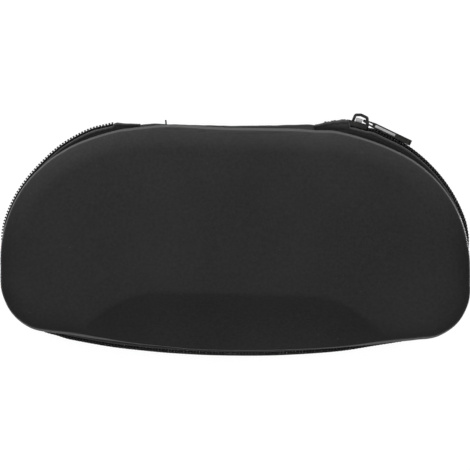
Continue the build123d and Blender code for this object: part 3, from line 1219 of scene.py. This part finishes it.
    def foam(self) -> None:
        """Moulded foam between the cloth and the lining."""
        outer, inner = (self.skin(inset, self.foam_cells) for inset in self.foam_insets)
        bmesh.ops.reverse_faces(inner, faces=inner.faces)
        join(outer, inner)
        open_edges = [edge for edge in outer.edges if edge.is_boundary]
        bmesh.ops.bridge_loops(outer, edges=open_edges)
        bmesh.ops.recalc_face_normals(outer, faces=outer.faces)
        word = self.half.word
        Piece(f"{word}_foam", self.half.body, "foam", FOAM, (f"{word}_shell",)).add(outer)

    def build(self) -> None:
        """Build the half's three layers."""
        self.cloth(self.cover)
        self.foam()
        self.cloth(self.lining)


# Zip and binding


RIGHT_END = 30.3
LEFT_END = 37.0
SLIDER_BEARING = 76.0


def block(into: Mesh, middle: Vector, turn: float, size: Place) -> None:
    """Add a box.

    Args:
        into: The mesh that gains it.
        middle: Its middle in metres.
        turn: How far it is turned about +Z, in radians.
        size: Its length, depth and height in millimetres, before the turn.
    """
    place = Matrix.Translation(middle) @ Matrix.Rotation(turn, 4, "Z")
    shape = Matrix.Diagonal((*(Vector(size) * MM), 1.0))
    bmesh.ops.create_cube(into, size=1.0, matrix=place @ shape)


@dataclass(frozen=True)
class Stitch:
    """Short stitch of thread along an outline, in millimetres."""

    reach: float
    radius: float
    sides: int = 6

    def sew(self, into: Mesh, spot: Spot, gap: float, height: float, lean: float) -> None:
        """Add one stitch.

        Args:
            into: The mesh that gains it.
            spot: Place on the outline.
            gap: How far outside the outline it lies.
            height: Height of its middle.
            lean: How far its ends lie below and above its middle.
        """
        near = spot.out(gap)
        along = Vector((-spot.way.y, spot.way.x)) * (self.reach * MM)
        start, end = (
            Vector((*(near + along * side), (height + lean * side) * MM)) for side in (-1, 1)
        )
        capsule(into, start, end, self.radius, self.sides)


@dataclass(frozen=True)
class Station:
    """Matching places on the zip's edge and on the rim."""

    edge: Spot
    rim: Spot
    distance: float
    right: bool


@dataclass
class Closure:
    """Zip round the case: tapes, coil, stitches and the bindings behind them."""

    front: float = 6.0
    tape: float = 0.6
    tape_cloth: float = 0.5
    wall: float = 3.5
    sewn: float = 3.0
    pitch: float = 1.22
    teeth_from: tuple[float, float] = (4.2, 10.9)
    tooth_depth: float = 1.5
    tooth_width: float = 0.6
    tooth_low: float = -0.25
    tooth_high: float = 1.85
    tooth_edge: float = 0.11
    open_shift: float = 1.3
    open_flare: float = 0.28
    open_inward: float = 1.3
    roll: float = 0.45
    stitch: Stitch = Stitch(0.42, 0.13)
    stitch_height: float = 1.15
    stitch_inward: float = 0.16
    tack: Stitch = Stitch(0.55, 0.2, 8)
    tack_rows: int = 15
    tack_height: float = 6.4
    tack_from: float = 0.7
    tack_inward: float = 1.77
    tack_zigzag: float = 0.1
    stitch_lean: float = 0.12
    shelf: tuple[float, ...] = (0.12, 0.24, 0.36, 0.48, 0.58, 0.68, 0.78, 0.88, 0.96)
    folded: Table = (
        (4.12, -0.35), (4.12, 1.4), (4.12, 2.8), (4.35, 3.0), (4.72, 2.95), (4.88, 2.7),
        (4.88, 1.4), (4.88, -0.1), (4.7, -0.45), (4.35, -0.5), (4.12, -0.35),
    )
    fullness: Table = (
        (0.0, 0.0), (0.56, 0.0), (0.64, 0.45), (0.79, 0.25), (1.07, 0.75), (1.7, 0.8),
        (2.5, 0.4), (3.5, 0.25), (4.2, 0.55), (4.5, 1.0), (4.8, 0.7), (5.1, 0.1), (5.25, 0.0),
        (5.45, 0.35), (5.75, 0.2), (6.0, 0.1),
    )
    slack: Table = (
        (0.0, -0.85), (5.0, -0.75), (11.5, 0.2), (20.0, 0.75), (31.0, 0.65), (43.0, 0.25),
        (58.0, 0.4), (75.0, 0.1), (81.0, 0.0), (91.0, -0.3), (103.0, -0.9), (116.0, -1.0),
        (125.0, -0.2), (132.0, 0.35), (148.0, 0.45), (163.0, 0.27), (180.0, 0.15), (196.0, 0.1),
    )

    def __post_init__(self) -> None:
        """Work out the outlines of both sides."""
        ends = {True: RIGHT_END, False: LEFT_END}
        self.rims = {side: rim_outline(bearing(end, BACK_ARC)) for side, end in ends.items()}
        self.zips = {side: zip_outline(bearing(end, ZIP_ARC)) for side, end in ends.items()}

    def station(self, right: bool, stage: float, distance: float) -> Station:
        """Station on one side, at a stage and a distance from the zip's end."""
        stage = stage if right else -stage
        return Station(self.zips[right].at(stage), self.rims[right].at(stage), distance, right)

    def stations(self, step: float) -> list[Station]:
        """Matching places from the right end round the front to the left end.

        Args:
            step: Rough distance from one to the next.

        Returns:
            The stations in order.
        """
        found = []
        for right in (True, False):
            edge = self.zips[right]
            run = [
                self.station(right, max(stage, TINY), edge.distance_of(stage) / MM)
                for stage in edge.stages(self.front, step * MM)
            ]
            found += run if right else run[-2::-1]
        return found

    @property
    def slider_distance(self) -> float:
        """Distance of the slider from the zip's right end."""
        return radians(bearing(RIGHT_END, ZIP_ARC) - SLIDER_BEARING) * ZIP_ARC[1]

    def opened(self, station: Station) -> float:
        """How far the two halves part at a station, from 0 to 1.

        Args:
            station: The station.

        Returns:
            The share.
        """
        if not station.right:
            return 0.0
        behind = self.slider_distance - station.distance
        return smooth_share(behind / 3.0) * smooth_share(station.distance / 2.2)

    def sway(self, station: Station) -> float:
        """Outward shift of the whole chain, which is fuller on the right.

        Args:
            station: The station.

        Returns:
            The shift in millimetres.
        """
        if not station.right:
            return between(self.slack, station.distance)
        return between(self.fullness, abs(station.edge.stage))

    def rolled(self, station: Station) -> float:
        """How far the chain turns face up on the left shoulder, from 0 to 1."""
        return 0.0 if station.right else smooth_share((90.0 - station.distance) / 15.0)

    def fold(self, station: Station) -> float:
        """Further outward shift of the tape alone, where it hides the chain.

        Args:
            station: The station.

        Returns:
            The shift in millimetres.
        """
        reach = station.distance
        if station.right:
            loose = smooth_share((self.slider_distance - 3.5 - reach) / 1.2)
            waves = 0.12 * sin(reach * 1.9) + 0.06 * sin(reach * 4.7)
            return (-0.2 + 0.23 * reach + waves * smooth_share(reach / 3.0)) * loose
        return (0.3 + 0.11 * reach) * smooth_share((self.teeth_from[1] - 0.4 - reach) / 0.8)

    @staticmethod
    def over_rim(half: Half, plan: Vector, up: float) -> Vector:
        """Point over a plan point, as far up from a half's rim as its shell is."""
        return Vector((plan.x, plan.y, (half.rim + half.value * up) * MM))

    def tapes(self, half: Half) -> None:
        """Woven tape from inside the rim, out under it and along the chain.

        Args:
            half: The half that it is sewn to.
        """
        inset = self.wall + self.tape / 2
        lean = self.sewn * tan(radians(DRAFT))
        rows: Rows = [[] for _ in range(len(self.shelf) + 8)]
        for station in self.stations(1.0):
            inside, higher = station.rim.out(-inset), station.rim.out(-inset - lean)
            shift = self.sway(station) + self.fold(station) - self.tooth_depth - self.tape / 2
            skirt = station.edge.out(shift)
            last = 0.3 + self.open_shift * self.opened(station)
            drop = 4.75 - last
            spots = [
                (higher, self.sewn), (higher.lerp(inside, 0.5), self.sewn / 2), (inside, 0.1)
            ]
            for share in self.shelf:
                plan = inside.lerp(skirt, share)
                beyond = (plan - station.rim.point).dot(station.rim.way) / MM
                groove = exp(-(((beyond - 0.1) / 0.8) ** 2))
                spots.append((plan, -0.28 - groove * (1 - share**6)))
            spots += [(skirt, -0.75 - step * drop) for step in (0.0, 0.2, 0.4, 0.7)]
            spots.append((skirt, last - RIM_GAP / 2))
            for row, (plan, up) in zip(rows, spots):
                row.append(self.over_rim(half, plan, up))
        self.piece(half, "woven_tape", "tape", ZIP_TAPE, "zip_tape", grow(rows), self.tape_cloth)

    @staticmethod
    def piece(
        half: Half, name: str, slot: str, finish: Finish, node: str, mesh: Mesh, cloth: float = 0.0
    ) -> None:
        """Add a piece of one half, attached to the base if it is the lower one and to no body if it
        is the upper one.

        Args:
            half: The half.
            name: The piece's name without the half's.
            slot: Its slot.
            finish: Its finish.
            node: The node that it replaces, without the half's name, or "" for none.
            mesh: Its shape.
            cloth: Its thickness if it is cloth.
        """
        bend = ZIP_BEND if half is Half.UPPER else ()
        replaces = (f"{half.word}_{node}",) if node else ()
        made = Piece(f"{half.word}_{name}", half.body, slot, finish, replaces, bend).add(mesh)
        if cloth:
            thicken(made, cloth)

    def teeth(self, half: Half) -> list[Station]:
        """Station of every tooth of one half.

        Args:
            half: The half, whose teeth lie between the other's.

        Returns:
            The stations of the right side and then of the left.
        """
        phase = 0.0 if half is Half.UPPER else 0.5
        found = []
        for right, first in zip((True, False), self.teeth_from):
            edge = self.zips[right]
            reach = edge.length / MM - first
            count = round(reach / self.pitch)
            middle = 1 if right and half is Half.UPPER else 0
            for index in range(count + middle):
                distance = first + (index + phase) * reach / count
                found.append(self.station(right, edge.stage_at(distance * MM), distance))
        return found

    def coil(self, half: Half) -> None:
        """Nylon coil, one loop to each turn of its filament, and its stitches.

        Args:
            half: The half that it is on.
        """
        way = half.value
        size = (self.tooth_depth, self.tooth_width, self.tooth_high - self.tooth_low)
        loops, stitches = bmesh.new(), bmesh.new()
        for station in self.teeth(half):
            spot, parted = station.edge, self.opened(station)
            lift = MIDDLE + way * self.open_shift * parted
            middle = lift + way * (self.tooth_low + self.tooth_high) / 2
            shift = self.sway(station)
            if half is Half.LOWER:
                shift -= self.roll * self.rolled(station)
            if parted > 0.5:
                shift += min(self.fold(station), 2.5) - self.open_inward
            plan = spot.out(shift - self.tooth_depth / 2)
            flare = parted * self.open_flare * sin(station.distance * 5.1)
            turn = atan2(spot.way.y, spot.way.x) + flare
            block(loops, Vector((plan.x, plan.y, middle * MM)), turn, size)
            gap, height = shift - self.stitch_inward, lift + way * self.stitch_height
            self.stitch.sew(stitches, spot, gap, height, self.stitch_lean)
        ease(loops, loops.edges[:], self.tooth_edge)
        self.piece(half, "coil", "coil", NYLON, "zip_coil", loops)
        self.piece(half, "coil_stitches", "thread", THREAD, "", stitches)

    def binding(self, half: Half) -> None:
        """Folded tape over the raw edges inside the rim.

        Args:
            half: The half that it is sewn to.
        """
        lean = self.sewn * tan(radians(DRAFT))
        rows: Rows = [[] for _ in self.folded]
        for station in self.stations(1.6):
            wave = 0.05 * sin(station.distance * 1.7)
            for row, (gap, up) in zip(rows, self.folded):
                inward = gap + wave + (lean if up > self.sewn / 2 else 0.0)
                row.append(self.over_rim(half, station.rim.out(-inward), up))
        strip = grow(rows, closed=True)
        ends = [edge for edge in strip.edges if edge.is_boundary]
        bmesh.ops.holes_fill(strip, edges=ends, sides=0)
        bmesh.ops.recalc_face_normals(strip, faces=strip.faces)
        name, node = f"{half.word}_binding_tape", f"{half.word}_binding"
        Piece(name, half.body, "binding", BINDING_TAPE, (node,)).add(strip)

    def bar_tack(self, right: bool) -> None:
        """Close zigzag of thread that ties both tapes at one end of the chain.

        Args:
            right: Which end.
        """
        stage = self.zips[right].stage_at(self.tack_from * MM)
        station = self.station(right, stage, self.tack_from)
        shift = self.fold(station) + self.sway(station) - self.tack_inward
        tack = bmesh.new()
        for index in range(self.tack_rows):
            share, odd = index / (self.tack_rows - 1), index % 2
            height = MIDDLE + self.tack_height * (share - 0.5)
            lean = self.stitch_lean if odd else -self.stitch_lean
            self.tack.sew(tack, station.edge, shift + self.tack_zigzag * odd, height, lean)
        word = "right" if right else "left"
        name, node = f"{word}_tack_thread", f"{word}_bar_tack"
        Piece(name, Body.BASE, "thread", THREAD, (node,)).add(tack)

    def build(self) -> None:
        """Build both halves of the zip and its trimmings."""
        for half in Half:
            self.tapes(half)
            self.coil(half)
            self.binding(half)
        for right in (True, False):
            self.bar_tack(right)


# Hinge


@dataclass
class Hinge:
    """Sewn cloth hinge at the back, its inner lining and a loose thread end."""

    right: float = 30.2
    left: float = -37.0
    low: float = Half.LOWER.rim
    high: float = Half.UPPER.rim
    thread: tuple[Place, ...] = (
        (-26.9, 43.2, 36.2), (-27.0, 44.2, 36.7), (-26.9, 45.1, 37.1), (-27.1, 46.1, 37.2)
    )
    thread_radius: float = 0.3
    stand_out: Table = (
        (-36.0, 1.7), (-32.6, 1.6), (-25.0, 0.75), (-17.0, 0.45), (-9.0, 0.4), (-2.0, 0.27),
        (6.0, 0.46), (13.5, 0.6), (21.0, 0.9), (29.3, 1.5),
    )
    bend: tuple[Place, ...] = ((0.0, 43.4 * MM, 27.0 * MM), (0.0, 43.4 * MM, 37.0 * MM))

    def _rows(self, profile: list[tuple[float, float]], step: float) -> Rows:
        """Rows along the back.

        Args:
            profile: Gap and height of each row.
            step: Rough distance from one point of a row to the next.

        Returns:
            The rows' points in metres.
        """
        count = int((self.right - self.left) / step)
        rows: Rows = [[] for _ in profile]
        for index in range(count + 1):
            x = self.left + (self.right - self.left) * index / count
            spot = self._spot(x)
            wave = 0.08 * noise.noise(Vector((x * 0.35, 3.1, 0.0)))
            wave += between(self.stand_out, x) + 0.35
            drift = RIM_DRIFT.at(RIM.length / MM - abs(x), x > 0)
            for row, (gap, height) in zip(rows, profile):
                soft = wave if self.low < height < self.high and gap > -1.1 else drift
                plan = spot.out(gap + soft)
                row.append(Vector((plan.x, plan.y, height * MM)))
        return rows

    @staticmethod
    def _spot(x: float) -> Spot:
        """Place on the back of the rim at x.

        Args:
            x: Place along the case.

        Returns:
            The place.
        """
        (centre_x, centre_y), radius = BACK_ARC
        beyond = abs(x) - centre_x
        if beyond <= 0:
            return Spot(Vector((x, centre_y + radius)) * MM, Vector((0.0, 1.0)))
        side = 1.0 if x > 0 else -1.0
        rise = sqrt(radius**2 - beyond**2)
        way = Vector((side * beyond, rise)) / radius
        return Spot(Vector((x, centre_y + rise)) * MM, way)

    def strips(self) -> None:
        """Outer strip across the gap and the lining strip inside it."""
        low, high, rise = self.low, self.high, self.high - self.low
        outer = [(-4.06, low - 3.0), (-3.8, low - 0.2), (-3.3, low + 0.25), (-1.0, low + 0.3)]
        outer += [
            (-0.62 - 0.3 * sin(pi * share) ** 2 + 0.1 * sin(pi * share * 6), low + rise * share)
            for share in (0.07, 0.14, 0.24, 0.33, 0.42, 0.5, 0.58, 0.67, 0.76, 0.86, 0.93)
        ]
        outer += [(-1.0, high - 0.3), (-3.3, high - 0.25), (-3.8, high + 0.2), (-4.06, high + 3.0)]
        inner = [(-4.55, low - 2.9), (-4.3, low)]
        inner += [
            (-4.3 - 0.25 * sin(pi * share), low + rise * share)
            for share in (0.15, 0.3, 0.45, 0.6, 0.75, 0.9)
        ]
        inner += [(-4.3, high), (-4.55, high + 2.9)]
        for name, profile, finish, slot, node, cloth in (
            ("hinge_cloth", outer, HINGE_CLOTH, "cover", "hinge_strip", 0.5),
            ("hinge_lining_cloth", inner, BINDING_TAPE, "lining", "hinge_lining", 0.36),
        ):
            strip = grow(self._rows(profile, 0.8))
            thicken(Piece(name, Body.BASE, slot, finish, (node,), self.bend).add(strip), cloth)

    def loose_thread(self) -> None:
        """Short cut end of sewing thread that stands out of the back lip."""
        line = bpy.data.curves.new("loose_thread", "CURVE")
        line.dimensions = "3D"
        line.bevel_depth = self.thread_radius * MM
        line.bevel_resolution = 2
        line.use_fill_caps = True
        spline = line.splines.new("NURBS")
        spline.points.add(len(self.thread) - 1)
        for point, place in zip(spline.points, self.thread):
            point.co = (*(Vector(place) * MM), 1.0)
        spline.order_u = 3
        spline.use_endpoint_u = True
        Piece("loose_thread", Body.LID, "thread", THREAD).link(line)
        log.info("loose_thread: one curve")

    def build(self) -> None:
        """Build the hinge."""
        self.strips()
        self.loose_thread()


# Slider and pull


@dataclass
class Runner:
    """Metal slider with its crown and pull tab, dressed over the solids."""

    flat_angle: float = 4.0
    hard_angle: float = 28.0
    sharp_angle: float = 40.0
    pivot: Place = (49.4459, 46.7886, MIDDLE)
    tilt: float = -25.0
    panel_start: float = 4.7
    panel_end: float = 13.3
    panel_depth: float = 1.14
    panel_height: float = 3.98
    panel_edge: float = 0.12
    # size and place of the crown's painted highlight block
    block_size: Place = (2.5, 1.7, 1.5)
    block_back: float = 0.65
    block_out: float = 1.8
    block_edge: float = 0.2

    def polished(self, node: str, name: str, body: Body, width: float) -> None:
        """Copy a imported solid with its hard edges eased.

        Args:
            node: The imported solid.
            name: The copy's name.
            body: Body that it rides on.
            width: Width of the eased edges.
        """
        metal = bmesh.new()
        metal.from_mesh(bpy.data.objects[node].data)
        for layer in list(metal.loops.layers.uv.values()):
            metal.loops.layers.uv.remove(layer)
        bmesh.ops.remove_doubles(metal, verts=metal.verts, dist=TINY)
        bmesh.ops.dissolve_limit(
            metal, angle_limit=radians(self.flat_angle), verts=metal.verts, edges=metal.edges,
            use_dissolve_boundaries=False, delimit=set(),
        )
        hard = [
            edge for edge in metal.edges
            if edge.is_manifold and edge.calc_face_angle(0.0) > radians(self.hard_angle)
        ]
        ease(metal, hard, width, 2, clamp=True)
        done = Piece(name, body, "metal", GUNMETAL, (node,)).add(metal)
        done.data.set_sharp_from_angle(angle=radians(self.sharp_angle))

    @staticmethod
    def satin(name: str, body: Body, middle: Vector, turn: float, size: Place, edge: float) -> None:
        """Add a satin block with eased edges.

        Args:
            name: Its name.
            body: Body that it rides on.
            middle: Its middle.
            turn: How far it is turned about +Z, in radians.
            size: Its length, depth and height, before the turn.
            edge: Width of its eased edges.
        """
        mesh = bmesh.new()
        block(mesh, middle * MM, turn, size)
        ease(mesh, mesh.edges[:], edge, 2)
        Piece(name, body, "metal", SATIN_METAL).add(mesh)

    def tab_insert(self) -> None:
        """Satin insert that fills the long recess along the tab's edges."""
        turn = radians(self.tilt)
        along = Vector((cos(turn), sin(turn), 0.0))
        middle = Vector(self.pivot) + along * (self.panel_start + self.panel_end) / 2
        size = (self.panel_end - self.panel_start, self.panel_depth, self.panel_height)
        self.satin("tab_insert", Body.TAB, middle, turn, size, self.panel_edge)

    def crown_highlight_block(self) -> None:
        """Bright satin block in the crown's window, on the slider's front face; its pale colour is
        a painted highlight for the light that shows through the window, and its satin metal also
        reflects the lamps.
        """
        (x, y), radius = ZIP_ARC
        turn = radians(SLIDER_BEARING)
        out, back = Vector((cos(turn), sin(turn), 0.0)), Vector((-sin(turn), cos(turn), 0.0))
        middle = Vector((x, y, MIDDLE)) + out * (radius + self.block_out) + back * self.block_back
        size, edge = self.block_size, self.block_edge
        self.satin("crown_highlight_block", Body.SLIDER, middle, turn - pi / 2, size, edge)

    def build(self) -> None:
        """Build the slider, crown and tab."""
        self.polished("slider_body", "slider_casting", Body.SLIDER, 0.14)
        self.polished("slider_crown", "crown_arch", Body.SLIDER, 0.16)
        self.polished("pull_tab", "tab_casting", Body.TAB, 0.12)
        self.tab_insert()
        self.crown_highlight_block()


# Studio


def shown(wiring: Wiring) -> Socket:
    """1 where something is seen directly, mirrored or through glass, and 0 where it lights.

    Args:
        wiring: Wiring of the material or the world.

    Returns:
        The number's socket.
    """
    path = wiring.add("LightPath").outputs
    mirrored = wiring.math("MAXIMUM", path["Is Camera Ray"], path["Is Glossy Ray"])
    return wiring.math("MAXIMUM", mirrored, path["Is Transmission Ray"])


@dataclass
class Studio:
    """Floor, lamps and camera."""

    pixel: float = 0.3849 * MM
    picture: int = 470
    centre: tuple[float, float] = (234.85, 240.5)
    roll: float = 0.6
    distance: float = 1.2
    focus_height: float = 37.0 * MM
    sensor: float = 36.0
    floor_size: float = 2.5
    floor_glow: float = 0.84
    sky_shown: float = 1.0
    sky_light: float = 0.26
    aim: Place = (0.0, 0.0, 0.03)
    lamps: tuple[tuple[str, Place, float, float], ...] = (
        ("key_lamp", (0.0, -0.15, 1.5), 2.0, 26.5),
        ("back_lamp", (-0.15, 1.05, 0.1), 0.34, 20.0),
    )

    def camera(self) -> None:
        """Camera straight above the case, with the photograph's framing."""
        data = bpy.data.cameras.new("camera")
        data.sensor_width = self.sensor
        data.lens = self.sensor * self.distance / (self.picture * self.pixel)
        camera = bpy.data.objects.new("camera", data)
        bpy.context.scene.collection.objects.link(camera)
        middle = self.picture / 2
        across = (middle - self.centre[0]) * self.pixel
        along = (self.centre[1] - middle) * self.pixel
        camera.location = (across, along, self.focus_height + self.distance)
        camera.rotation_euler = (0.0, 0.0, radians(self.roll))
        bpy.context.scene.camera = camera

    def floor(self) -> None:
        """Pale floor that shows as white and keeps the case's soft shadow."""
        mesh = bmesh.new()
        bmesh.ops.create_grid(mesh, x_segments=8, y_segments=8, size=self.floor_size)
        data = bpy.data.meshes.new("floor")
        mesh.to_mesh(data)
        mesh.free()
        material, wiring, shader = begin_material("floor_paper")
        place = wiring.add("TexCoord").outputs["Object"]
        grain = Groups.place(wiring, "grain", place, Fine=600.0, Broad=12.0).outputs
        paper = wiring.mix(grain["Patches"], grey(0.2), grey(0.22))
        wiring.feed(shader, Base_Color=paper, Roughness=0.9)
        level = wiring.math("MULTIPLY", shown(wiring), self.floor_glow)
        glow = wiring.add("Emission", Color=grey(1.0), Strength=level)
        both = wiring.add("AddShader")
        for part, socket in zip((shader, glow), both.inputs):
            wiring.put(part.outputs[0], socket)
        output = next(node for node in wiring.tree.nodes if node.type == "OUTPUT_MATERIAL")
        wiring.feed(output, Surface=both.outputs[0])
        data.materials.append(material)
        floor = bpy.data.objects.new("floor", data)
        bpy.context.scene.collection.objects.link(floor)

    def lamp(self, name: str, place: Place, size: float, power: float) -> None:
        """Square soft lamp that faces the case.

        Args:
            name: The lamp's name.
            place: Where it stands, in metres.
            size: Side of its face.
            power: Its power in watts.
        """
        data = bpy.data.lights.new(name, "AREA")
        data.size = size
        data.energy = power
        lamp = bpy.data.objects.new(name, data)
        bpy.context.scene.collection.objects.link(lamp)
        lamp.location = place
        way = Vector(self.aim) - Vector(place)
        lamp.rotation_euler = way.to_track_quat("-Z", "Y").to_euler()

    def world(self) -> None:
        """Pale even surroundings, white where the camera or a reflection sees them."""
        world = bpy.data.worlds.new("surroundings")
        world.use_nodes = True
        world.node_tree.nodes.clear()
        wiring = Wiring(world.node_tree)
        extra = self.sky_shown - self.sky_light
        level = wiring.math("MULTIPLY_ADD", shown(wiring), extra, self.sky_light)
        sky = wiring.add("Background", Color=grey(1.0), Strength=level)
        wiring.add("OutputWorld", Surface=sky.outputs[0])
        bpy.context.scene.world = world

    def build(self) -> None:
        """Set the whole studio up."""
        self.camera()
        self.floor()
        self.world()
        for lamp in self.lamps:
            self.lamp(*lamp)
        bpy.context.scene.view_settings.view_transform = "Standard"


def main() -> None:
    """Build every piece, in order, and report each."""
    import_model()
    Studio().build()
    log.info("studio is up")
    for half in Half:
        Mould(half).build()
    for part in (Closure(), Hinge(), Runner()):
        part.build()


if __name__ == "__main__":
    main()
